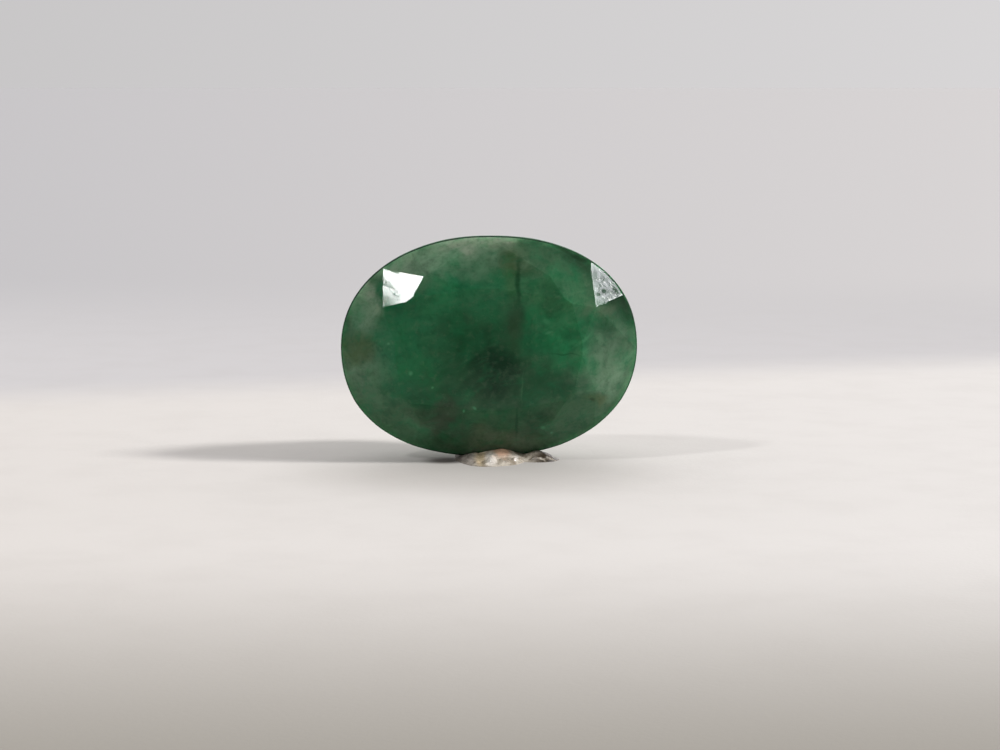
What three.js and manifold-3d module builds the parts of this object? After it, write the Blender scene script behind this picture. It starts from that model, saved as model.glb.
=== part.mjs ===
// A faceted oval emerald standing on its long edge in a small dab of clear glue.
// Millimetres, +Z up. The stone's table faces -Y, its long axis lies along X and the dab's flat
// underside is at z = 0. The origin is the centre of the whole object's footprint box.
//
// The stone is made the way a cutter makes it. An oval blank is sawn, and each facet is then
// ground off it as one flat plane: a brilliant crown of 33 facets in front of the girdle, and a
// step-cut pavilion of 32 facets behind it that ends in a short keel.

import * as THREE from "three";
import { mergeVertices } from "three/addons/utils/BufferGeometryUtils.js";
import Module from "manifold-3d";

const wasm = await Module();
wasm.setup();

// The girdle outline
const LENGTH = 12.0; // the stone's long axis
const WIDTH = 9.0; // its short axis, which stands upright
const GIRDLE = 0.34; // thickness of the girdle band
// How full an oval is in each quarter, anticlockwise from the upper right as the table is seen.
// 2 is a true ellipse, and more is squarer. The crown was ground to a slimmer oval than the
// girdle, so its facets run out a little lower where the girdle is fuller.
const GIRDLE_FULLNESS = [2.24, 2.09, 2.31, 2.13];
const CROWN_FULLNESS = [2.04, 2.08, 2.22, 2.05];
const OUTLINE_STEPS = 128;

// The crown
const CORNER_MAIN_ANGLE = 35; // slope of the four corner mains, in degrees from the girdle plane
const SIDE_MAIN_ANGLE = 27; // slope of the mains at the two ends of the long axis
const TOP_MAIN_ANGLE = 29.5; // slope of the mains at the two ends of the short axis
const CORNER_MAIN_INSET = 1.71; // how far inside the girdle a corner main meets the table
const TABLE_BITE = 0.05; // how far the table is ground past the point where the mains meet it
const STAR_TIP_HEIGHT = 0.88; // height above the girdle at which stars, mains and breaks meet
// Places round the girdle, in degrees of the outline's own angle. The stone was cut by hand, so
// the main at the upper right sits a little off its even place.
const MAIN_PLACES = [0, 47.5, 90, 135, 180, 225, 270, 315];
const BREAK_PLACES = [27.5, 61.5, 118.5, 152.5, 207.5, 241.5, 298.5, 332.5];
// How far each main's corner at the table is off its middle line, anticlockwise
const TABLE_CORNER_SHIFTS = [0.04, -0.05, 0.06, -0.19, 0.03, 0.08, -0.05, -0.06];

// The pavilion's steps, from the girdle back: slope in degrees, and how far inside the girdle
// line the step starts
const PAVILION_STEPS = [
  { angle: 57, inset: 0, places: [...MAIN_PLACES, ...BREAK_PLACES] },
  { angle: 45, inset: 0.85, places: MAIN_PLACES },
  { angle: 33, inset: 2.1, places: MAIN_PLACES },
];

// The dab of glue
const STONE_LIFT = 0.12; // the stone's lowest edge stands this far above the dab's underside
const DAB_HALF_WIDTH = 1.75; // along X
const DAB_HALF_DEPTH = 2.35; // along Y, so that the stone can't rock over
const DAB_HEIGHT = 0.62; // height of the mound where the stone stands in it
const DAB_RIM = 0.07; // thickness at the edge of the footprint
const DAB_PLACE = [0.12, 0.3]; // its middle, from the lowest point of the girdle
const BEAD_HALF_WIDTH = 0.95; // a smaller bead of the same glue at its right
const BEAD_HALF_DEPTH = 0.8;
const BEAD_HEIGHT = 0.36;
const BEAD_PLACE = [1.95, -0.1]; // from the same point
const SEAT_GAP = 0.03; // clearance between the stone and the glue it stands in

const radians = THREE.MathUtils.degToRad;
const slope = (degrees) => Math.tan(radians(degrees));

// Turns a closed three.js geometry into a solid that can be cut and joined.
function solidOf(geometry) {
  const bare = new THREE.BufferGeometry();
  bare.setAttribute("position", geometry.getAttribute("position"));
  if (geometry.index) bare.setIndex(geometry.index);
  const merged = mergeVertices(bare, 1e-5);
  return new wasm.Manifold(
    new wasm.Mesh({
      numProp: 3,
      vertProperties: new Float32Array(merged.attributes.position.array),
      triVerts: new Uint32Array(merged.index.array),
    }),
  );
}

// Turns a solid back into a three.js geometry with flat-shaded faces.
function geometryOf(solid) {
  const mesh = solid.getMesh();
  const positions = new Float32Array(mesh.numVert * 3);
  for (let i = 0; i < mesh.numVert; i++) {
    const start = i * mesh.numProp;
    positions.set(mesh.vertProperties.subarray(start, start + 3), i * 3);
  }
  const geometry = new THREE.BufferGeometry();
  geometry.setAttribute("position", new THREE.BufferAttribute(positions, 3));
  geometry.setIndex(new THREE.BufferAttribute(new Uint32Array(mesh.triVerts), 1));
  const flat = geometry.toNonIndexed();
  flat.computeVertexNormals();
  return flat;
}

// A point of the girdle's or the crown's oval, in the stone's own plane, centred at 0, 0.
function outlinePoint(degrees, fullness) {
  const turned = ((degrees % 360) + 360) % 360;
  const power = 2 / fullness[Math.min(3, Math.floor(turned / 90))];
  const along = Math.cos(radians(turned));
  const up = Math.sin(radians(turned));
  return new THREE.Vector2(
    (LENGTH / 2) * Math.sign(along) * Math.abs(along) ** power,
    (WIDTH / 2) * Math.sign(up) * Math.abs(up) ** power,
  );
}

// The outward direction square to the oval at a place.
function outlineNormal(degrees, fullness) {
  const step = 0.5;
  const along = outlinePoint(degrees + step, fullness).sub(
    outlinePoint(degrees - step, fullness),
  );
  return new THREE.Vector2(along.y, -along.x).normalize();
}

// A crown main or pavilion step as a plane: it passes its oval at one place, at a given inset
// and height, and falls away outwards at a given angle. side is 1 for crown, -1 for pavilion.
function slopingFacet(degrees, angle, inset, height, side) {
  const fullness = side > 0 ? CROWN_FULLNESS : GIRDLE_FULLNESS;
  const out = outlineNormal(degrees, fullness);
  const start = outlinePoint(degrees, fullness).addScaledVector(out, -inset);
  const normal = new THREE.Vector3(
    out.x * Math.sin(radians(angle)),
    out.y * Math.sin(radians(angle)),
    side * Math.cos(radians(angle)),
  );
  return new THREE.Plane().setFromNormalAndCoplanarPoint(
    normal,
    new THREE.Vector3(start.x, start.y, side * height),
  );
}

// A facet through three points, turned so that it faces away from the stone's middle.
function facetThrough(a, b, c) {
  const plane = new THREE.Plane().setFromCoplanarPoints(a, b, c);
  return plane.constant > 0 ? plane.negate() : plane;
}

// Where three facets meet.
function meetingPoint(p, q, r) {
  const rows = new THREE.Matrix3().set(
    p.normal.x, p.normal.y, p.normal.z,
    q.normal.x, q.normal.y, q.normal.z,
    r.normal.x, r.normal.y, r.normal.z,
  );
  return new THREE.Vector3(-p.constant, -q.constant, -r.constant).applyMatrix3(rows.invert());
}

const levelPlane = (height) => new THREE.Plane(new THREE.Vector3(0, 0, 1), -height);

// The crown's 33 facets: 8 mains, 8 stars, 16 breaks and the table.
function crownFacets() {
  const girdleTop = GIRDLE / 2;
  const tableMeet = girdleTop + CORNER_MAIN_INSET * slope(CORNER_MAIN_ANGLE);
  const angles = MAIN_PLACES.map((place) => {
    if (place % 180 === 0) return SIDE_MAIN_ANGLE;
    return place % 90 === 0 ? TOP_MAIN_ANGLE : CORNER_MAIN_ANGLE;
  });
  const mains = MAIN_PLACES.map((place, i) =>
    slopingFacet(place, angles[i], 0, girdleTop, 1),
  );
  const tableCorners = MAIN_PLACES.map((place, i) => {
    const inset = (tableMeet - girdleTop) / slope(angles[i]);
    const out = outlineNormal(place, CROWN_FULLNESS);
    const along = new THREE.Vector2(-out.y, out.x);
    const corner = outlinePoint(place, CROWN_FULLNESS)
      .addScaledVector(out, -inset)
      .addScaledVector(along, TABLE_CORNER_SHIFTS[i]);
    return new THREE.Vector3(corner.x, corner.y, tableMeet);
  });
  const stars = [];
  const breaks = [];
  const onGirdle = (place) => {
    const point = outlinePoint(place, CROWN_FULLNESS);
    return new THREE.Vector3(point.x, point.y, girdleTop);
  };
  MAIN_PLACES.forEach((place, i) => {
    const next = (i + 1) % MAIN_PLACES.length;
    const starTip = meetingPoint(mains[i], mains[next], levelPlane(girdleTop + STAR_TIP_HEIGHT));
    stars.push(facetThrough(tableCorners[i], tableCorners[next], starTip));
    const halfway = onGirdle(BREAK_PLACES[i]);
    breaks.push(facetThrough(starTip, onGirdle(place), halfway));
    breaks.push(facetThrough(starTip, halfway, onGirdle(MAIN_PLACES[next])));
  });
  return [...mains, ...stars, ...breaks, levelPlane(tableMeet - TABLE_BITE)];
}

// The pavilion's three rows of steps. Each row starts where the one before it has reached.
function pavilionFacets() {
  const facets = [];
  let depth = GIRDLE / 2;
  PAVILION_STEPS.forEach((step, i) => {
    if (i > 0) {
      const before = PAVILION_STEPS[i - 1];
      depth += (step.inset - before.inset) * slope(before.angle);
    }
    for (const place of step.places) {
      facets.push(slopingFacet(place, step.angle, step.inset, depth, -1));
    }
  });
  return facets;
}

// Grinds the stone from its blank, table up and centred on the girdle. grown moves every
// face out by that much, which gives the seat that the stone needs in the glue.
function cutStone(grown = 0) {
  const outline = [];
  for (let i = 0; i < OUTLINE_STEPS; i++) {
    const degrees = (360 * i) / OUTLINE_STEPS;
    const out = outlineNormal(degrees, GIRDLE_FULLNESS);
    outline.push(outlinePoint(degrees, GIRDLE_FULLNESS).addScaledVector(out, grown));
  }
  const thickness = WIDTH; // the blank is thicker than any stone that comes out of it
  const blank = new THREE.ExtrudeGeometry(new THREE.Shape(outline), {
    depth: thickness * 2,
    bevelEnabled: false,
  }).translate(0, 0, -thickness);
  let stone = solidOf(blank);
  for (const facet of [...crownFacets(), ...pavilionFacets()]) {
    const inward = facet.normal.clone().negate();
    stone = stone.trimByPlane(inward.toArray(), facet.constant - grown);
  }
  return geometryOf(stone);
}

// A low oval mound with a flat underside, as a drop of glue sets: its height falls from the
// middle to a thin rim as the square of one less the square of the share of the radius.
function mound(halfWidth, halfDepth, height) {
  const rings = 10;
  const profile = [new THREE.Vector2(0, 0), new THREE.Vector2(1, 0)];
  for (let i = rings; i >= 0; i--) {
    const share = i / rings;
    const fall = (1 - share * share) ** 2;
    profile.push(new THREE.Vector2(share, DAB_RIM + (height - DAB_RIM) * fall));
  }
  return new THREE.LatheGeometry(profile, 40).rotateX(Math.PI / 2).scale(halfWidth, halfDepth, 1);
}

// The stone stands on its long edge, table towards -Y, with its girdle plane at Y 0.
const emerald = new THREE.Mesh(
  cutStone(),
  new THREE.MeshStandardMaterial({ color: 0x24553a, roughness: 0.12, metalness: 0 }),
);
emerald.name = "emerald";
emerald.rotation.x = Math.PI / 2;
emerald.position.z = STONE_LIFT + WIDTH / 2;
emerald.updateMatrixWorld(true);

// The dab, with the stone's seat cut out of it
const seat = solidOf(cutStone(SEAT_GAP).applyMatrix4(emerald.matrixWorld));
const drop = mound(DAB_HALF_WIDTH, DAB_HALF_DEPTH, DAB_HEIGHT).translate(...DAB_PLACE, 0);
const bead = mound(BEAD_HALF_WIDTH, BEAD_HALF_DEPTH, BEAD_HEIGHT).translate(...BEAD_PLACE, 0);
const glueDab = new THREE.Mesh(
  geometryOf(solidOf(drop).add(solidOf(bead)).subtract(seat)),
  new THREE.MeshStandardMaterial({ color: 0xcfc8bb, roughness: 0.15, metalness: 0 }),
);
glueDab.name = "glue_dab";

// Both pieces are moved along Y so that the origin is the middle of their footprint box.
const object = new THREE.Group();
object.add(emerald, glueDab);
const reach = new THREE.Box3().setFromObject(object, true);
object.position.y = -(reach.min.y + reach.max.y) / 2;

export default object;
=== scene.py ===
"""A faceted oval emerald that stands on its long edge in a dab of clear glue.

The stone keeps the solid's own facets and gets worn edges. The glue is a new surface over the
solid's footprint. Metres, +Z up, table towards -Y.
"""
import math

import bmesh
import bpy
import numpy as np
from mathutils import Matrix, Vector


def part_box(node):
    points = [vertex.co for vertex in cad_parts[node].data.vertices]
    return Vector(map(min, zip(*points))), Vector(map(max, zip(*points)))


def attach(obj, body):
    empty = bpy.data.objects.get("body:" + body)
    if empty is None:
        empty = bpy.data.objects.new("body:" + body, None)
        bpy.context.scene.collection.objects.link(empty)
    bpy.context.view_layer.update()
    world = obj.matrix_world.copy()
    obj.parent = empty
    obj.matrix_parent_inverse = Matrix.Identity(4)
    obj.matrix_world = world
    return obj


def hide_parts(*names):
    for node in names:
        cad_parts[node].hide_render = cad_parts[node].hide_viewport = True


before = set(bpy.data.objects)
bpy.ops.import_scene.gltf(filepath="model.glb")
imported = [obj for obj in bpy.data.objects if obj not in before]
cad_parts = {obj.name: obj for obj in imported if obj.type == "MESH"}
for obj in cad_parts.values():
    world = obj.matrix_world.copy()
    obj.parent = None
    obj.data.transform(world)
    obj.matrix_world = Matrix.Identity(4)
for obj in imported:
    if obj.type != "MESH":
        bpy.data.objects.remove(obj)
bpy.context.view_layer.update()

MM = 0.001
STONE_LOW, STONE_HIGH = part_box("emerald")
# The girdle's middle lies this far behind the table
CROWN_HEIGHT = 1.317 * MM
GIRDLE_MIDDLE = Vector((0, STONE_LOW.y + CROWN_HEIGHT, (STONE_LOW.z + STONE_HIGH.z) / 2))
STONE_LENGTH = STONE_HIGH.x - STONE_LOW.x

# The photograph's frame in pixels, where the girdle is centred in it and how wide it is there
FRAME_WIDTH, FRAME_HEIGHT = 1000, 750
STONE_AT = (489.0, 346.5)
STONE_PIXELS = 296.0
CAMERA_ELEVATION = 7.0
LENS, SENSOR = 85.0, 36.0


def linear(hex_code):
    """A colour written as sRGB hex, as linear red, green, blue and alpha."""
    parts = [int(hex_code[i : i + 2], 16) / 255 for i in (1, 3, 5)]
    return (*[c / 12.92 if c <= 0.04045 else ((c + 0.055) / 1.055) ** 2.4 for c in parts], 1.0)


def add(tree, kind, inputs=None, **settings):
    """Adds a node with its settings; an input is a value, or another node's socket to link."""
    node = tree.nodes.new(kind)
    for name, value in settings.items():
        setattr(node, name, value)
    for key, value in (inputs or {}).items():
        if isinstance(value, bpy.types.NodeSocket):
            tree.links.new(value, node.inputs[key])
        else:
            node.inputs[key].default_value = value
    return node


def new_material(name):
    """An empty node material and its tree."""
    made = bpy.data.materials.new(name)
    made.use_nodes = True
    made.node_tree.nodes.clear()
    return made, made.node_tree


def finish_material(tree, shader, volume=None):
    """Links a shader, and a volume where there is one, to the material's output."""
    out = add(tree, "ShaderNodeOutputMaterial", {"Surface": shader.outputs[0]})
    if volume:
        tree.links.new(volume.outputs[0], out.inputs["Volume"])


def patches(tree, where, scale, low, high, strength=1.0, detail=5.0, rough=0.6):
    """Cloudy patches of noise: 0 where it is under low, rising smoothly to strength at high.

    scale is how many times a millimetre the noise repeats.
    """
    noise = add(tree, "ShaderNodeTexNoise", {
        "Vector": where, "Scale": scale, "Detail": detail, "Roughness": rough})
    return add(tree, "ShaderNodeMapRange", {
        "Value": noise.outputs[0], "From Min": low, "From Max": high, "To Max": strength,
    }, interpolation_type="SMOOTHSTEP").outputs[0]


def soft_oval(tree, where, place, size, strength=1.0, tilt=0.0, outer=1.45, inner=0.3):
    """A soft oval: strength inside it, falling smoothly to 0 outside.

    It lies at place with half sizes in mm, turned by tilt round Y. outer and inner are the radii
    in those sizes where the fall ends and starts.
    """
    inside = add(tree, "ShaderNodeMapping", {
        "Vector": where, "Location": place, "Rotation": (0, tilt, 0), "Scale": size,
    }, vector_type="TEXTURE")
    reach = add(tree, "ShaderNodeVectorMath", {0: inside.outputs[0]}, operation="LENGTH")
    return add(tree, "ShaderNodeMapRange", {
        "Value": reach.outputs["Value"], "From Min": outer, "From Max": inner,
        "To Max": strength,
    }, interpolation_type="SMOOTHSTEP").outputs[0]


def layered(tree, colour, layers):
    """Lays colours over one another: each layer is how much of it shows, and its hex."""
    for share, code in layers:
        colour = add(tree, "ShaderNodeMix", {0: share, 6: colour, 7: linear(code)},
                     data_type="RGBA").outputs[2]
    return colour


def millimetres(tree, middle=(0, 0, 0)):
    """Object coordinates in mm from a point given in metres."""
    where = add(tree, "ShaderNodeTexCoord")
    return add(tree, "ShaderNodeMapping", {
        "Vector": where.outputs["Object"], "Location": tuple(-c / MM for c in middle),
        "Scale": (1 / MM,) * 3,
    }).outputs[0]


def place_camera():
    """The photograph's view: a long lens, a little above the stone, looking along +Y."""
    data = bpy.data.cameras.new("camera")
    data.lens, data.sensor_width = LENS, SENSOR
    data.clip_start, data.clip_end = MM, 20.0
    made = bpy.data.objects.new("camera", data)
    bpy.context.scene.collection.objects.link(made)
    tilt = math.radians(CAMERA_ELEVATION)
    forward = Vector((0, math.cos(tilt), -math.sin(tilt)))
    up = Vector((0, math.sin(tilt), math.cos(tilt)))
    pixel = STONE_LENGTH / STONE_PIXELS
    aim = GIRDLE_MIDDLE.copy()
    aim.x += (FRAME_WIDTH / 2 - STONE_AT[0]) * pixel
    aim -= up * (FRAME_HEIGHT / 2 - STONE_AT[1]) * pixel
    made.location = aim - forward * (pixel * FRAME_WIDTH * LENS / SENSOR)
    made.rotation_euler = forward.to_track_quat("-Z", "Y").to_euler()
    bpy.context.scene.camera = made


place_camera()

# The stone
SAME_PLACE = 0.0005 * MM  # corners closer than this are one
FLAT_ANGLE = math.radians(0.3)  # triangles that meet at less than this are one facet
WORN_EDGE = 0.016 * MM  # width that wear has given the edges between facets
GIRDLE_EDGE = 0.075 * MM  # and the edges of the girdle
SHORTEST_EDGE = 0.08 * MM  # shorter ones are closed, so that no strip folds over itself
FACET_ANGLE = math.radians(3.2)  # edges sharper than this are worn; the girdle's curve isn't
GIRDLE_NORMAL = 0.2  # faces whose normal has less than this along Y make up the girdle
GIRDLE_SHADE = 0.3  # how much of the dark tone in front of it the girdle shows


def cut_stone():
    """A copy of the cut solid with its triangles joined into whole facets.

    The edges of the girdle are rounded off first and those between facets after them, each by
    two narrow strips, as wear does. The attribute rim is 1 on the strips between crown and
    girdle and less on the girdle and behind it, the attribute wear is 1 on the strips between
    facets, and the attribute back is 1 behind the girdle.
    """
    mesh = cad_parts["emerald"].data.copy()
    mesh.name = "cut_stone"
    work = bmesh.new()
    work.from_mesh(mesh)
    rim = work.faces.layers.float.new("rim")
    wear = work.faces.layers.float.new("wear")
    back = work.faces.layers.float.new("back")
    bmesh.ops.remove_doubles(work, verts=work.verts, dist=SAME_PLACE)
    bmesh.ops.dissolve_limit(
        work, angle_limit=FLAT_ANGLE, verts=work.verts, edges=work.edges
    )
    bmesh.ops.remove_doubles(work, verts=work.verts, dist=SHORTEST_EDGE)
    work.normal_update()
    for face in work.faces:
        face[rim] = GIRDLE_SHADE if abs(face.normal.y) < GIRDLE_NORMAL else 0.0

    def round_off(edges, width, layer):
        """Bevels some edges and marks the new strips in a layer."""
        strips = bmesh.ops.bevel(
            work, geom=edges, offset=width, segments=2, profile=0.5, affect="EDGES",
            clamp_overlap=False,
        )
        for face in strips["faces"]:
            face[layer] = 1.0
        work.normal_update()

    on_girdle = {e: {f[rim] > 0 for f in e.link_faces} for e in work.edges}
    round_off([e for e, sides in on_girdle.items() if len(sides) == 2], GIRDLE_EDGE, rim)
    for face in work.faces:
        if face[rim] > 0 and face.normal.y > 0:
            face[rim] = GIRDLE_SHADE
    sharp = [
        e for e in work.edges
        if e.calc_face_angle(0) > FACET_ANGLE and not any(f[rim] > 0 for f in e.link_faces)
    ]
    round_off(sharp, WORN_EDGE, wear)
    for face in work.faces:
        face[back] = 1.0 if face.normal.y > GIRDLE_NORMAL else 0.0
    work.to_mesh(mesh)
    work.free()
    made = bpy.data.objects.new("cut_stone", mesh)
    bpy.context.scene.collection.objects.link(made)
    mesh.materials.clear()
    return made


stone = cut_stone()
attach(stone, "root")
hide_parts("emerald")

# Tones of the beryl, from clear to clouded and stained, and two tones of painted shade
VIVID_GREEN, CLEAR_GREEN = "#2e9b64", "#2b8157"
DEEP_GREEN, DARK_GREEN, MIDDLE_SHADE_GREEN = "#125b38", "#053e23", "#021f12"
THIN_HAZE, MILKY_HAZE, PALE_HAZE, FLECK = "#4b895f", "#88ab8c", "#b3bba8", "#6fc792"
DULL_GREEN, DUSTY_GREEN, OLIVE_STAIN = "#4d7656", "#75806a", "#5f6832"
MICA, RIM_SHADE_GREEN, STAIN = "#3b4936", "#223227", "#1d3421"
BERYL_IOR = 1.577
FAR = 1e3  # as a half size, it means that an oval has no end that way

# What shows through the table, as soft ovals: place along X and Z and half size there in mm from
# the stone's middle, strength, tone. They fade out towards the pavilion. Besides the stone's own
# cloudy colour they hold painted light and shade: the deep and dark greens in the middle are
# painted shade where the stone is thickest, and the milky and pale hazes along the outline and
# at the top are painted light coming through the thin edges, over milky inclusions
CLOUD_DEPTH, CLOUD_REACH = -0.66, 3.0
CLOUDS_AND_PAINTED_LIGHT = [
    (-3.2, 0.7, 1.9, 2.1, 0.90, CLEAR_GREEN),
    (-3.3, -1.1, 1.3, 1.2, 0.75, CLEAR_GREEN),
    (2.5, 0.5, 1.7, 1.4, 0.90, CLEAR_GREEN),
    (-0.7, 2.2, 2.6, 1.2, 0.80, CLEAR_GREEN),
    (2.6, 2.4, 1.6, 1.0, 0.85, THIN_HAZE),
    # Painted shade: these deep and dark greens darken the middle, where the stone is thickest
    (-0.7, 0.1, 1.7, 1.4, 0.90, DEEP_GREEN),
    (-2.0, -1.4, 1.3, 1.0, 0.85, DEEP_GREEN),
    (0.3, -0.9, 1.2, 1.4, 1.00, DARK_GREEN),
    (2.4, -1.5, 1.3, 0.8, 0.85, DEEP_GREEN),
    (3.2, 0.4, 1.0, 1.1, 0.80, VIVID_GREEN),
    (2.2, 1.4, 0.9, 0.8, 0.50, VIVID_GREEN),
    (4.8, -0.8, 1.15, 1.6, 0.72, MILKY_HAZE),
    (5.2, 0.9, 0.5, 0.6, 0.15, MILKY_HAZE),
    (-2.1, 3.7, 1.8, 1.00, 0.90, MILKY_HAZE),
    (0.2, 4.2, 1.5, 0.50, 0.80, MILKY_HAZE),
    (-0.4, 4.45, 1.9, 0.40, 0.90, PALE_HAZE),
    (-3.6, 3.5, 0.8, 0.45, 0.80, MILKY_HAZE),
    (-4.8, 2.3, 0.5, 0.8, 0.72, PALE_HAZE),
    (2.6, 3.7, 1.6, 0.6, 0.85, DULL_GREEN),
    (0.9, 3.8, 0.60, 0.7, 0.18, OLIVE_STAIN),
    (-5.2, 1.7, 0.8, 1.3, 0.70, MILKY_HAZE),
    (-5.2, -0.1, 0.7, 0.8, 0.45, OLIVE_STAIN),
    (-4.9, -1.3, 0.9, 0.8, 0.55, MILKY_HAZE),
    (-4.9, -2.0, 0.8, 1.0, 0.70, DULL_GREEN),
    (-3.4, -2.9, 1.5, 0.8, 0.90, DULL_GREEN),
    (3.2, -2.9, 1.3, 0.7, 0.85, DULL_GREEN),
    (-1.9, -2.7, 1.1, 0.7, 0.80, MICA),
    (1.4, -3.3, 1.3, 0.7, 0.50, MICA),
    (0.2, -2.9, 1.2, 0.5, 0.30, THIN_HAZE),
    (0.7, -4.1, 2.1, 0.8, 0.63, DUSTY_GREEN),
    (-1.4, -3.6, 1.0, 0.5, 0.40, MICA),
    (4.35, -2.2, 0.7, 0.40, 0.45, OLIVE_STAIN),
    (4.3, 1.8, 0.8, 0.5, 0.42, DUSTY_GREEN),
    (-4.75, 2.6, 0.35, 0.6, 0.30, PALE_HAZE),
    (-3.5, 3.45, 0.8, 0.40, 0.20, PALE_HAZE),
    (0.8, 3.9, 0.5, 0.5, 0.28, DUSTY_GREEN),
    (-1.1, 4.1, 0.6, 0.40, 0.35, PALE_HAZE),
    (-1.9, 2.2, 0.6, 0.5, 0.30, VIVID_GREEN),
    (3.1, 0.9, 0.8, 0.5, 0.22, THIN_HAZE),
    (3.0, -0.8, 0.6, 0.5, 0.35, VIVID_GREEN),
    (-0.6, 0.0, 0.5, 0.5, 0.30, CLEAR_GREEN),
    # Painted shade: the darkest spot, low in the middle
    (0.2, -1.1, 1.1, 0.8, 0.40, MIDDLE_SHADE_GREEN),
]
# The healed fracture that crosses the stone upright, and small crystals near the skin: the same,
# and a turn in radians
FLAWS = [
    (0.92, 3.0, 0.30, 1.1, 0.18, OLIVE_STAIN, 0.0),
    (1.17, 2.7, 0.10, 0.95, 0.70, DARK_GREEN, 0.03),
    (2.95, 4.00, 0.45, 0.10, 0.80, STAIN, 0.30),
    (3.65, 3.68, 0.40, 0.09, 0.80, STAIN, 0.45),
    (1.08, 0.9, 0.36, 0.90, 0.60, MICA, 0.0),
    (1.34, -1.5, 0.04, 0.65, 0.40, THIN_HAZE, 0.02),
    (1.13, -3.0, 0.06, 0.80, 0.45, DARK_GREEN, -0.02),
    (3.75, 0.36, 0.50, 0.06, 0.18, FLECK, -0.72),
    (5.20, -1.1, 0.32, 0.09, 0.45, MILKY_HAZE, -0.3),
    (3.05, -0.18, 0.65, 0.04, 0.45, DARK_GREEN, 0.05),
    (4.10, -2.12, 0.10, 0.08, 0.70, MICA, 0.0),
    (5.10, 2.30, 0.24, 0.12, 0.85, STAIN, 0.9),
    (4.63, 2.29, 0.14, 0.12, 0.60, STAIN, 0.3),
    (-1.80, -2.8, 0.55, 0.12, 0.55, MICA, 0.25),
    (2.31, 1.2, 0.16, 0.10, 0.26, FLECK, 0.4),
    (2.43, 0.75, 0.15, 0.08, 0.28, FLECK, -0.3),
    (-4.01, 0.14, 0.06, 0.05, 0.45, FLECK, 0.0),
    (-3.12, -0.95, 0.09, 0.13, 0.45, FLECK, 0.4),
    (-2.27, -1.48, 0.05, 0.05, 0.40, FLECK, 0.0),
    (-0.97, -2.45, 0.05, 0.07, 0.50, FLECK, 0.0),
    (-0.57, -2.37, 0.08, 0.06, 0.45, FLECK, 0.5),
    (2.19, -3.18, 0.12, 0.07, 0.32, FLECK, 0.3),
    (2.59, -3.46, 0.06, 0.05, 0.35, FLECK, 0.0),
]
# Places where the polish is scuffed: place, half size, strength and turn
SCUFFS = [
    (-3.95, 2.42, 0.55, 0.16, 0.60, 0.80),  # in the upper left main
    (-3.75, 3.10, 0.35, 0.06, 0.70, 0.21),
    (4.95, 2.45, 0.85, 0.65, 0.22, 0.85),  # the break at the upper right
    (5.45, 0.90, 0.25, 0.70, 0.45, 0.0),
    (-4.30, -2.60, 0.50, 0.40, 0.35, 0.0),
]
# Spots where it is dull: the same
DULL_SPOTS = [
    (-4.32, 1.72, 1.10, 0.62, 0.84, 0.62),
    (4.42, 1.75, 0.30, 0.30, 0.45, 0.0),
    (4.63, 2.29, 0.14, 0.12, 0.95, 0.3),
    (4.39, 2.17, 0.12, 0.08, 0.80, 0.5),
    (4.45, 2.52, 0.12, 0.09, 0.60, 0.0),
    (4.27, 2.88, 0.13, 0.30, 0.55, 0.1),
    (4.66, 2.80, 0.30, 0.06, 0.50, 0.92),
    (5.10, 2.30, 0.24, 0.10, 0.95, 0.9),
    (4.86, 2.90, 0.60, 0.04, 0.40, 0.80),
    (4.78, 2.02, 0.26, 0.09, 0.50, -0.5),
]
# A fringe of short scratches that the last grinding left in the upper left main, as dull
# spots: they step down along it, and shift, lengthen and deepen unevenly by the golden section
FRINGE = [
    (-4.24 + 0.10 * i + 0.08 * (0.618 * i % 1), 2.88 - 0.12 * i,
     0.09 + 0.08 * (0.382 * i % 1), 0.04, 0.35 + 0.25 * (0.764 * i % 1), -0.85)
    for i in range(8)
]
# Share of a perfect polish's reflection that the skin still gives, worn in front and less behind
FRONT_GLOSS, BACK_GLOSS = 0.30, 0.70


def shifted(tree, where, reach):
    """Places shifted along X and Z by slow noise times reach, so that no edge is regular."""
    noise = add(tree, "ShaderNodeTexNoise", {"Vector": where, "Scale": 0.8, "Detail": 2.5})
    shift = add(tree, "ShaderNodeVectorMath", {0: noise.outputs["Color"], 1: (0.5,) * 3},
                operation="SUBTRACT")
    return add(tree, "ShaderNodeVectorMath", {
        0: shift.outputs[0], 1: (reach, 0, reach), 2: where}, operation="MULTIPLY_ADD").outputs[0]


def outline_shade_and_patch(tree, mm, bent):
    """How far the skin is darkened: painted shade near the outline, broadly at the upper right
    and thinly all round it, and a dark patch in the break at the upper right.
    """
    outline = add(tree, "ShaderNodeMapping", {"Vector": bent, "Scale": (6.0, FAR, 4.5)},
                  vector_type="TEXTURE").outputs[0]
    outline = add(tree, "ShaderNodeVectorMath", {0: outline}, operation="LENGTH")
    broad, thin = [
        add(tree, "ShaderNodeMapRange", {
            "Value": outline.outputs["Value"], "From Min": start, "From Max": 1.03,
            "To Max": strength}, interpolation_type="SMOOTHSTEP").outputs[0]
        for start, strength in ((0.87, 1.0), (0.95, 0.08))
    ]
    upper_right = soft_oval(tree, mm, (4.6, 0, 2.0), (2.2, FAR, 1.9), 0.85)
    broad = add(tree, "ShaderNodeMath", {0: broad, 1: upper_right}, operation="MULTIPLY")
    return broad.outputs[0], thin, soft_oval(tree, mm, (4.85, 0, 2.5), (0.65, FAR, 0.8), 0.8)


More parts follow.
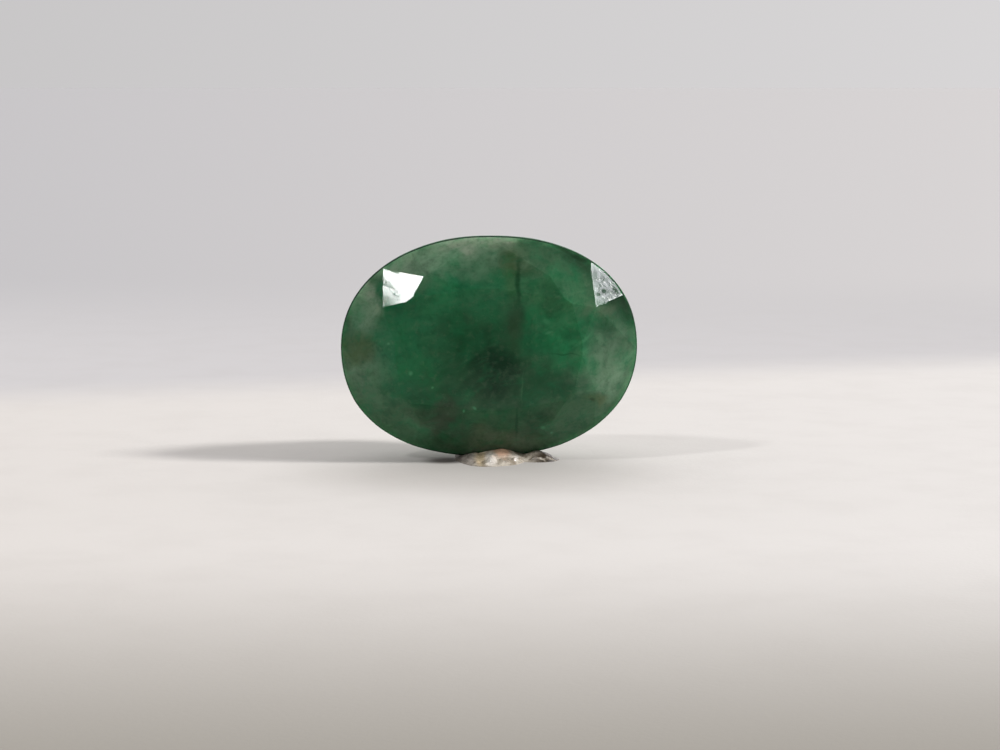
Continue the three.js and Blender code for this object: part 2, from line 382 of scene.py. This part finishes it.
def beryl_colour(tree, mm, bent, rim, back):
    """What shows through the skin: clouds, veils, grain, stains and flaws over a dull green, with
    painted light and shade.
    """
    warped = shifted(tree, mm, 2.4)
    # Veils of tiny fluid drops lie in thin sheets up to 2.5 mm long
    sheets = add(tree, "ShaderNodeMapping", {
        "Vector": bent, "Rotation": (0, -0.3, 0), "Scale": (2.0, 1.3, 0.5),
    }, vector_type="TEXTURE").outputs[0]
    deeper = add(tree, "ShaderNodeMath", {0: back, 1: 0.5}, operation="MULTIPLY")
    return layered(tree, linear(DULL_GREEN), [
        (patches(tree, mm, 0.6, 0.36, 0.66, 0.7), DEEP_GREEN),
        (deeper.outputs[0], DEEP_GREEN),
        *[(soft_oval(tree, warped, (x, CLOUD_DEPTH, z), (wide, CLOUD_REACH, high), strength),
           tone)
          for x, z, wide, high, strength, tone in CLOUDS_AND_PAINTED_LIGHT],
        (patches(tree, warped, 0.7, 0.46, 0.74, 0.40, 3.0), DARK_GREEN),
        (patches(tree, sheets, 0.8, 0.44, 0.80, 0.14, 2.0), MILKY_HAZE),
        (patches(tree, mm, 2.2, 0.46, 0.72, 0.38, 4.0), DARK_GREEN),
        (patches(tree, bent, 1.1, 0.48, 0.74, 0.34, 3.0), VIVID_GREEN),
        (patches(tree, sheets, 3.0, 0.50, 0.74, 0.26, 2.0), CLEAR_GREEN),
        (patches(tree, mm, 4.0, 0.48, 0.80, 0.18, 3.0), MILKY_HAZE),
        (patches(tree, bent, 8.0, 0.46, 0.70, 0.20, 2.0), DARK_GREEN),
        # Painted shade along the outline, and the dark patch in the break, in the stain's tone
        *[(share, STAIN) for share in outline_shade_and_patch(tree, mm, bent)],
        *[(soft_oval(tree, bent, (x, CLOUD_DEPTH, z), (wide, CLOUD_REACH, high), strength,
                     turn), tone)
          for x, z, wide, high, strength, tone, turn in FLAWS],
        # Painted shade: the girdle's rim is painted dark, where light leaves the stone
        (rim, RIM_SHADE_GREEN),
    ])


def dents_of_wear(tree, mm, bent, front):
    """Scratches and pits where the polish is scuffed, in front, from 0 for none to 1."""
    scuffed = 0.0
    for x, z, wide, high, strength, turn in SCUFFS:
        place = soft_oval(tree, mm, (x, 0, z), (wide, FAR, high), strength, turn)
        scuffed = add(tree, "ShaderNodeMath", {0: scuffed, 1: place},
                      operation="MAXIMUM").outputs[0]
    scuffed = add(tree, "ShaderNodeMath", {0: scuffed, 1: front}, operation="MULTIPLY").outputs[0]
    # Scratches 0.3 mm long and 0.05 mm wide along one grinding direction, as noise drawn out
    ground = add(tree, "ShaderNodeMapping", {
        "Vector": mm, "Rotation": (0, 0.75, 0), "Scale": (0.35, 0.35, 0.09),
    }, vector_type="TEXTURE").outputs[0]
    scratch = add(tree, "ShaderNodeMath", {
        0: scuffed, 1: patches(tree, ground, 1.0, 0.50, 0.58, 1.0, 1.0),
    }, operation="MULTIPLY")
    # Pits up to 0.09 mm across: spots round scattered points, wider where it is scuffed
    pit = add(tree, "ShaderNodeTexVoronoi", {"Vector": bent, "Scale": 6.0})
    pit = add(tree, "ShaderNodeMath", {0: scuffed, 1: -0.35, 2: pit.outputs["Distance"]},
              operation="MULTIPLY_ADD")
    pit = add(tree, "ShaderNodeMapRange", {
        "Value": pit.outputs[0], "From Min": 0.02, "From Max": -0.12, "To Max": 0.8,
    })
    return add(tree, "ShaderNodeMath", {0: scratch.outputs[0], 1: pit.outputs[0]},
               operation="MAXIMUM").outputs[0]


def gloss_left(tree, mm, dents, rim, back, front):
    """Share of a perfect polish's reflection that is left where the skin is dull or worn."""
    break_is_matt = add(tree, "ShaderNodeMath", {
        0: soft_oval(tree, mm, (4.95, 0, 2.45), (0.9, FAR, 0.9)),
        1: patches(tree, mm, 4.5, 0.42, 0.60, 0.60, 3.0),
    }, operation="MULTIPLY").outputs[0]
    spots = [
        soft_oval(tree, mm, (x, 0, z), (wide, FAR, high), strength, turn)
        for x, z, wide, high, strength, turn in DULL_SPOTS + FRINGE
    ]
    dull = dents
    for share in (break_is_matt, *spots, rim):
        dull = add(tree, "ShaderNodeMath", {0: dull, 1: share}, operation="MAXIMUM").outputs[0]
    dull = add(tree, "ShaderNodeMath", {0: dull, 1: front}, operation="MULTIPLY").outputs[0]
    # The worn edges between facets are dull too, behind less so
    worn = add(tree, "ShaderNodeAttribute", attribute_name="wear").outputs["Fac"]
    how_worn = add(tree, "ShaderNodeMapRange", {"Value": back, "To Min": 0.85, "To Max": 0.45})
    worn = add(tree, "ShaderNodeMath", {0: worn, 1: how_worn.outputs[0]}, operation="MULTIPLY")
    dull = add(tree, "ShaderNodeMath", {0: dull, 1: worn.outputs[0]}, operation="MAXIMUM")
    polish = add(tree, "ShaderNodeMapRange", {
        "Value": back, "To Min": FRONT_GLOSS, "To Max": BACK_GLOSS})
    return add(tree, "ShaderNodeMapRange", {
        "Value": dull.outputs[0], "To Min": polish.outputs[0], "To Max": 0.0}).outputs[0]


def beryl():
    """Emerald, a green beryl, ground and polished by hand, full of fine inclusions.

    Polish gives the skin a sharp reflection, broken in front by pits and scratches where it is
    The inclusions make the inside milky, so light that goes in comes back soft and
    green, and only part of it passes straight through. The girdle's edge is painted dark, as
    painted shade for the light that leaves the stone there.
    """
    made, tree = new_material("polished_beryl")
    mm = millimetres(tree, GIRDLE_MIDDLE)
    bent = shifted(tree, mm, 0.5)
    rim, back = [
        add(tree, "ShaderNodeAttribute", attribute_name=name).outputs["Fac"]
        for name in ("rim", "back")
    ]
    front = add(tree, "ShaderNodeMath", {0: 1.0, 1: back}, operation="SUBTRACT").outputs[0]
    dents = dents_of_wear(tree, mm, bent, front)
    bump = add(tree, "ShaderNodeBump", {"Height": dents, "Strength": 0.5,
                                        "Distance": -0.01 * MM}).outputs[0]
    skin = add(tree, "ShaderNodeBsdfPrincipled", {
        "Base Color": beryl_colour(tree, mm, bent, rim, back), "Roughness": 0.28,
        "IOR": BERYL_IOR, "Transmission Weight": 0.3,
        "Subsurface Weight": 1.0, "Subsurface Radius": (0.5, 1.0, 0.7),
        "Subsurface Scale": 1.3 * MM, "Specular IOR Level": 0.0,
        "Specular Tint": linear(DEEP_GREEN),
        "Coat Weight": gloss_left(tree, mm, dents, rim, back, front), "Coat Roughness": 0.03,
        "Coat IOR": BERYL_IOR, "Coat Normal": bump, "Normal": bump,
    })
    glass = add(tree, "ShaderNodeVolumeAbsorption",
                {"Color": linear("#6fe39a"), "Density": 260.0})
    finish_material(tree, skin, glass)
    return made


stone.data.materials.append(beryl())

# The glue
GLUE_RINGS, GLUE_SPOKES = 110, 260
SEAT_GAP = 0.012 * MM
THINNEST_GLUE = 0.012 * MM
SHARP_ANGLE = math.radians(50)  # edges of the glue sharper than this stay sharp
# Its rim, in mm: the dab's middle from the lowest point of the girdle, the half sizes of its
# oval, and the small oval at its right from that middle
GLUE_MIDDLE = (0.12, 0.3)
RIM_OVAL = (1.55, 2.2)
SMALL_OVAL, SMALL_OVAL_SIZE = (1.83, -0.4), (0.90, 0.76)
RIM_SEARCH = 3.2  # how far out the small oval's outline is looked for
BLEND = 0.35  # how much of a lower mound rises through a higher one
# The mounds it set in, in mm from the lowest point of the girdle: middle, half sizes, height
MOUNDS = [
    (0.42, 0.30, 1.42, 2.30, 0.52),
    (-0.66, 0.10, 0.80, 1.95, 0.24),
    (1.95, -0.10, 0.92, 0.78, 0.33),
]
# Beads on it, the same way: rounder, so that each has a side that catches the light
BEADS = [
    (0.12, -1.40, 0.26, 0.28, 0.22),
    (-0.45, -1.42, 0.15, 0.18, 0.10),
    (1.08, -1.12, 0.16, 0.20, 0.11),
    (1.86, -0.72, 0.12, 0.14, 0.11),
    (0.66, -1.38, 0.26, 0.22, 0.09),
    (-0.12, -1.66, 0.12, 0.12, 0.06),
]


def underside_of_stone(x, y):
    """Height of the stone's skin above each place: the highest of the planes that face down.

    The stone is convex, so its lower skin is the upper envelope of its downward facets.
    """
    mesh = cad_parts["emerald"].data
    count = len(mesh.polygons)
    normals, centres = np.empty(count * 3), np.empty(count * 3)
    mesh.polygons.foreach_get("normal", normals)
    mesh.polygons.foreach_get("center", centres)
    normals, centres = normals.reshape(-1, 3), centres.reshape(-1, 3)
    down = normals[:, 2] < -0.02
    normals, centres = normals[down], centres[down]
    high = np.full(x.shape, -1.0)
    for n, reach in zip(normals, (normals * centres).sum(1)):
        np.maximum(high, (reach - n[0] * x - n[1] * y) / n[2], out=high)
    return high


def glue_surface():
    """The dab: low mounds, each of whose height falls from its middle as (1 - r squared) squared.

    r is the distance from a mound's middle in its half sizes, and the surface is the highest
    mound, blended a little where two meet, with slow waves and the beads added, whose height
    falls as 1 - r squared. Its rim is an oval with a few waves and the small mound's oval at
    the right. Where the stone stands over it the surface stays just below the stone's skin.
    """
    middle_x, middle_y = GLUE_MIDDLE[0] * MM, GIRDLE_MIDDLE.y + GLUE_MIDDLE[1] * MM
    spokes = np.linspace(0, 2 * np.pi, GLUE_SPOKES, endpoint=False)
    wave = 1 + 0.03 * np.sin(3 * spokes + 0.6) + 0.022 * np.sin(7 * spokes + 2.1)
    # The rim is the farther of the two ovals' outlines along each spoke
    main = 1 / np.hypot(np.cos(spokes) / RIM_OVAL[0], np.sin(spokes) / RIM_OVAL[1])
    steps = np.linspace(0, RIM_SEARCH, 801)[:, None]
    from_small = [
        (steps * turn - place) / size
        for turn, place, size in zip(
            (np.cos(spokes), np.sin(spokes)), SMALL_OVAL, SMALL_OVAL_SIZE)
    ]
    in_small = np.hypot(*from_small) < 1
    rim = np.maximum(main * wave, np.where(in_small, steps, 0).max(0)) * MM
    share = np.linspace(0, 1, GLUE_RINGS)[1:, None]
    x = middle_x + share * rim * np.cos(spokes)
    y = middle_y + share * rim * np.sin(spokes)
    across, deep = x / MM, (y - GIRDLE_MIDDLE.y) / MM

    def risen(place, power):
        """Height of one mound or bead everywhere."""
        mx, my, wide, long, high = place
        r = np.clip(np.hypot((across - mx) / wide, (deep - my) / long), 0, 1)
        return high * (1 - r ** 2) ** power

    mounds = np.stack([risen(place, 2) for place in MOUNDS])
    high = mounds.max(0) + BLEND * (mounds.sum(0) - mounds.max(0))
    # Slow waves 1.2 to 1.5 mm long, and finer ones of 0.5 to 0.7 mm
    high += 0.016 * np.sin(5.2 * across + 1.0) * np.sin(4.1 * deep + 0.4)
    high += 0.012 * np.sin(11 * across + 3.7 * deep) * np.sin(9 * deep + 2)
    high += sum(risen(place, 1) for place in BEADS)
    # The outermost ninth comes down to a thin rim
    edge = np.clip((1 - share) * 9, 0, 1)
    high = (0.05 + high * edge) * (0.35 + 0.65 * np.sqrt(edge)) * MM
    high = np.minimum(high, underside_of_stone(x, y) - SEAT_GAP)
    high = np.maximum(high, THINNEST_GLUE)

    rings = GLUE_RINGS - 1
    verts = np.concatenate([
        [[middle_x, middle_y, float(high[0].mean())]],
        np.stack([x, y, high], -1).reshape(-1, 3),
        np.stack([x[-1], y[-1], np.zeros(GLUE_SPOKES)], -1),
        [[middle_x, middle_y, 0.0]],
    ])
    ring, spoke = np.meshgrid(np.arange(rings), np.arange(GLUE_SPOKES), indexing="ij")
    after = (spoke + 1) % GLUE_SPOKES
    inner, inner_next = 1 + ring * GLUE_SPOKES + spoke, 1 + ring * GLUE_SPOKES + after
    quads = np.stack(
        [inner, inner + GLUE_SPOKES, inner_next + GLUE_SPOKES, inner_next], -1
    ).reshape(-1, 4)
    around = np.arange(GLUE_SPOKES)
    onward = (around + 1) % GLUE_SPOKES
    base, last = 1 + rings * GLUE_SPOKES, len(verts) - 1
    top_cap = np.stack([np.zeros_like(around), 1 + around, 1 + onward], -1)
    under_cap = np.stack([np.full_like(around, last), base + onward, base + around], -1)
    mesh = bpy.data.meshes.new("glue_drop")
    mesh.from_pydata(
        verts.tolist(), [], quads.tolist() + top_cap.tolist() + under_cap.tolist()
    )
    mesh.polygons.foreach_set("use_smooth", np.ones(len(mesh.polygons), bool))
    mesh.set_sharp_from_angle(angle=SHARP_ANGLE)
    made = bpy.data.objects.new("glue_drop", mesh)
    bpy.context.scene.collection.objects.link(made)
    return made


def clear_glue():
    """Clear glue that has cured where it was dropped, with dust stuck in it.

    It set with a skin, so it is glossy and wavy, and it is milky more than clear. A little
    iron-brown dust tints it in front, and dark dust lies on the small drop at the right. Two
    white spots on its front are painted highlights, and its left end is painted darker as shade.
    """
    made, tree = new_material("cured_clear_glue")
    mm = millimetres(tree)
    dust = add(tree, "ShaderNodeMath", {
        0: soft_oval(tree, mm, (2.40, -0.9, 0.15), (0.70, FAR, 0.40)),
        1: patches(tree, mm, 3.5, 0.26, 0.52, 1.0, 2.0),
    }, operation="MULTIPLY").outputs[0]
    colour = layered(tree, linear("#e9dfd0"), [
        (patches(tree, mm, 2.2, 0.42, 0.62, 0.85, 3.0), "#a89a88"),
        (patches(tree, mm, 5.0, 0.52, 0.70, 0.50, 3.0), "#85776a"),
        # Painted shade: the left end, in the stone's shadow, is darker
        (soft_oval(tree, mm, (-0.95, 0, 0.15), (0.5, FAR, 0.25), 0.6), "#857a7a"),
        (soft_oval(tree, mm, (-1.30, 0, 0.15), (0.2, FAR, 0.25), 0.8), "#4c4038"),
        (soft_oval(tree, mm, (-0.35, 0, 0.25), (0.24, FAR, 0.25), 0.7), "#e3cba0"),
        (soft_oval(tree, mm, (0.54, 0, 0.42), (0.38, FAR, 0.18), 0.85), "#ffccab"),
        # Painted highlights: two white spots where the glue would catch the light
        (soft_oval(tree, mm, (0.10, 0, 0.18), (0.24, FAR, 0.19), 1.0), "#fff8ee"),
        (soft_oval(tree, mm, (1.10, 0, 0.18), (0.10, FAR, 0.08), 0.8), "#fff8f0"),
        (dust, "#43382e"),
    ])
    waves = add(tree, "ShaderNodeTexNoise", {"Vector": mm, "Scale": 6.0, "Detail": 3.0})
    bump = add(tree, "ShaderNodeBump", {"Height": waves.outputs[0], "Strength": 0.8,
                                        "Distance": 0.08 * MM})
    # Its left end is matt with dust
    rough = add(tree, "ShaderNodeMapRange", {
        "Value": soft_oval(tree, mm, (-1.25, 0, 0.1), (0.35, FAR, 0.3)),
        "To Min": 0.12, "To Max": 0.8})
    skin = add(tree, "ShaderNodeBsdfPrincipled", {
        "Base Color": colour, "Roughness": rough.outputs[0], "IOR": 1.49,
        "Transmission Weight": 0.12, "Normal": bump.outputs[0],
    })
    finish_material(tree, skin)
    return made


glue = glue_surface()
glue.data.materials.append(clear_glue())
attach(glue, "root")
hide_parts("glue_dab")

# The studio
FLOOR_REACH = 12.0  # metres
LAMP_DISTANCE = 200 * MM
# Radiance of the dome at the horizon behind the stone, where it is as bright as the far floor,
# and at the horizon behind the camera
BACK_HORIZON, FRONT_HORIZON = 0.655, 0.42
BACK_DOME, FRONT_DOME = 1.15, 0.12  # the same, higher up
CAMERA_BACK = 96.3  # mm from the origin back to the camera
VIEW_SLOPE = 0.21  # sideways to forwards, at the left and right edges of the picture


def sideways(tree, where, back=0.0):
    """How far to the side a place lies, from 0 at the left of the picture to 1 at its right.

    It is X over Y, with Y counted from a point that lies back behind the origin.
    """
    parts = add(tree, "ShaderNodeSeparateXYZ", {"Vector": where})
    depth = add(tree, "ShaderNodeMath", {0: parts.outputs["Y"], 1: back}).outputs[0]
    ratio = add(tree, "ShaderNodeMath", {0: parts.outputs["X"], 1: depth}, operation="DIVIDE")
    return add(tree, "ShaderNodeMapRange", {
        "Value": ratio.outputs[0], "From Min": -VIEW_SLOPE, "From Max": VIEW_SLOPE,
    }).outputs[0]


def pale_floor():
    """Painted board: pale round the stone and greyer far behind it; painted shade greys its
    front.

    A painted shadow darkens it just in front of the stone and the glue, and a dark painted
    contact shadow lies at the glue's left. Painted light brightens it towards the right.
    """
    made, tree = new_material("painted_board")
    mm = millimetres(tree)
    deep = add(tree, "ShaderNodeSeparateXYZ", {"Vector": mm}).outputs["Y"]
    # The pale part ends behind the stone along a line that lies a little askew, and greys on
    # slowly beyond it
    askew = add(tree, "ShaderNodeVectorMath", {0: mm, 1: (-0.3, 1, 0)}, operation="DOT_PRODUCT")
    behind, beyond, before = [
        add(tree, "ShaderNodeMapRange", {
            "Value": value, "From Min": start, "From Max": end,
        }, interpolation_type="SMOOTHSTEP").outputs[0]
        for value, start, end in (
            (askew.outputs["Value"], 19, 32), (deep, 25, 95), (deep, -18, -50))
    ]
    right = sideways(tree, mm, CAMERA_BACK)
    far_right = add(tree, "ShaderNodeMath", {0: beyond, 1: right}, operation="MULTIPLY")
    near = add(tree, "ShaderNodeMapRange", {"Value": beyond, "From Min": 1.0, "From Max": 0.0})
    stains = add(tree, "ShaderNodeMath", {
        0: patches(tree, mm, 0.30, 0.40, 0.70, 0.06), 1: near.outputs[0]}, operation="MULTIPLY")
    colour = layered(tree, linear("#d6d2ce"), [
        # Painted light: brighter towards the right
        (right, "#dcd9d6"),
        (behind, "#c6c4c5"),
        (beyond, "#b7b6b8"),
        # Painted light: brighter towards the right far behind as well
        (far_right.outputs[0], "#c6c4c4"),
        # Painted shade: greyer in front of the stone
        (before, "#959189"),
        (stains.outputs[0], "#a09a94"),
        # Painted shadow: the stone's soft shadow on the floor in front of it
        (soft_oval(tree, mm, (-0.4, -5.0, 0), (6.5, 4.5, FAR), 0.27), "#8a837b"),
        # Painted shadow: the dark contact shadow under the stone, left of the glue
        (soft_oval(tree, mm, (-1.8, -1.5, 0), (0.8, 0.8, FAR), 0.80), "#3f342c"),
    ])
    grit = add(tree, "ShaderNodeTexNoise", {"Vector": mm, "Scale": 5.0}).outputs[0]
    bump = add(tree, "ShaderNodeBump", {"Height": grit, "Strength": 0.25,
                                        "Distance": 0.03 * MM}).outputs[0]
    skin = add(tree, "ShaderNodeBsdfPrincipled", {
        "Base Color": colour, "Roughness": 0.9, "Specular IOR Level": 0.15, "Normal": bump})
    finish_material(tree, skin)
    return made


corners = np.array([(-1, -1, 0), (1, -1, 0), (1, 1, 0), (-1, 1, 0)]) * FLOOR_REACH
floor_mesh = bpy.data.meshes.new("floor")
floor_mesh.from_pydata(corners.tolist(), [], [(0, 1, 2, 3)])
floor_mesh.materials.append(pale_floor())
floor = bpy.data.objects.new("floor", floor_mesh)
bpy.context.scene.collection.objects.link(floor)


def studio_dome():
    """A soft grey dome: brightest behind the stone, dim behind the camera."""
    world = bpy.data.worlds.new("studio")
    bpy.context.scene.world = world
    world.use_nodes = True
    tree = world.node_tree
    tree.nodes.clear()
    where = add(tree, "ShaderNodeTexCoord")
    parts = add(tree, "ShaderNodeSeparateXYZ", {"Vector": where.outputs["Generated"]})
    back = add(tree, "ShaderNodeMapRange", {
        "Value": sideways(tree, where.outputs["Generated"]),
        "To Min": 0.91 * BACK_HORIZON, "To Max": 1.07 * BACK_HORIZON})
    horizon = add(tree, "ShaderNodeMapRange", {
        "Value": parts.outputs["Y"], "From Min": -0.5, "From Max": 0.0,
        "To Min": FRONT_HORIZON, "To Max": back.outputs[0]}, interpolation_type="SMOOTHSTEP")
    above = add(tree, "ShaderNodeMapRange", {
        "Value": parts.outputs["Y"], "From Min": -0.8, "From Max": 0.8,
        "To Min": FRONT_DOME, "To Max": BACK_DOME}, interpolation_type="SMOOTHSTEP")
    rise = add(tree, "ShaderNodeMapRange", {
        "Value": parts.outputs["Z"], "From Min": 0.06, "From Max": 0.40,
    }, interpolation_type="SMOOTHSTEP")
    glow = add(tree, "ShaderNodeMix", {
        0: rise.outputs[0], 2: horizon.outputs[0], 3: above.outputs[0]})
    light = add(tree, "ShaderNodeBackground", {"Color": (0.975, 0.956, 0.963, 1.0),
                                               "Strength": glow.outputs[0]})
    add(tree, "ShaderNodeOutputWorld", {"Surface": light.outputs[0]})


def distant_lamp(name, direction, width, radiance):
    """A round lamp far off in a direction, given by how many degrees wide it looks."""
    data = bpy.data.lights.new(name, "SUN")
    made = bpy.data.objects.new(name, data)
    bpy.context.scene.collection.objects.link(made)
    direction = Vector(direction).normalized()
    made.location = GIRDLE_MIDDLE + direction * LAMP_DISTANCE
    made.rotation_euler = (-direction).to_track_quat("-Z", "Y").to_euler()
    data.angle = math.radians(width)
    data.energy = radiance * math.pi * math.sin(data.angle / 2) ** 2
    return data


studio_dome()
# The key light, low at the right, throws the long shadow to the left
key = distant_lamp("key", (0.80, -0.10, 0.59), width=9, radiance=106.0)
key.color = (1.0, 0.985, 0.96)
# The break at the upper right mirrors this one, and the upper left main the next
right_box = distant_lamp("right_box", (0.75, -0.20, 0.63), width=7, radiance=32.0)
right_box.color = (0.95, 0.93, 1.0)
distant_lamp("left_box", (-0.621, -0.380, 0.686), width=5.5, radiance=75.0)
bpy.context.scene.view_settings.view_transform = "Standard"
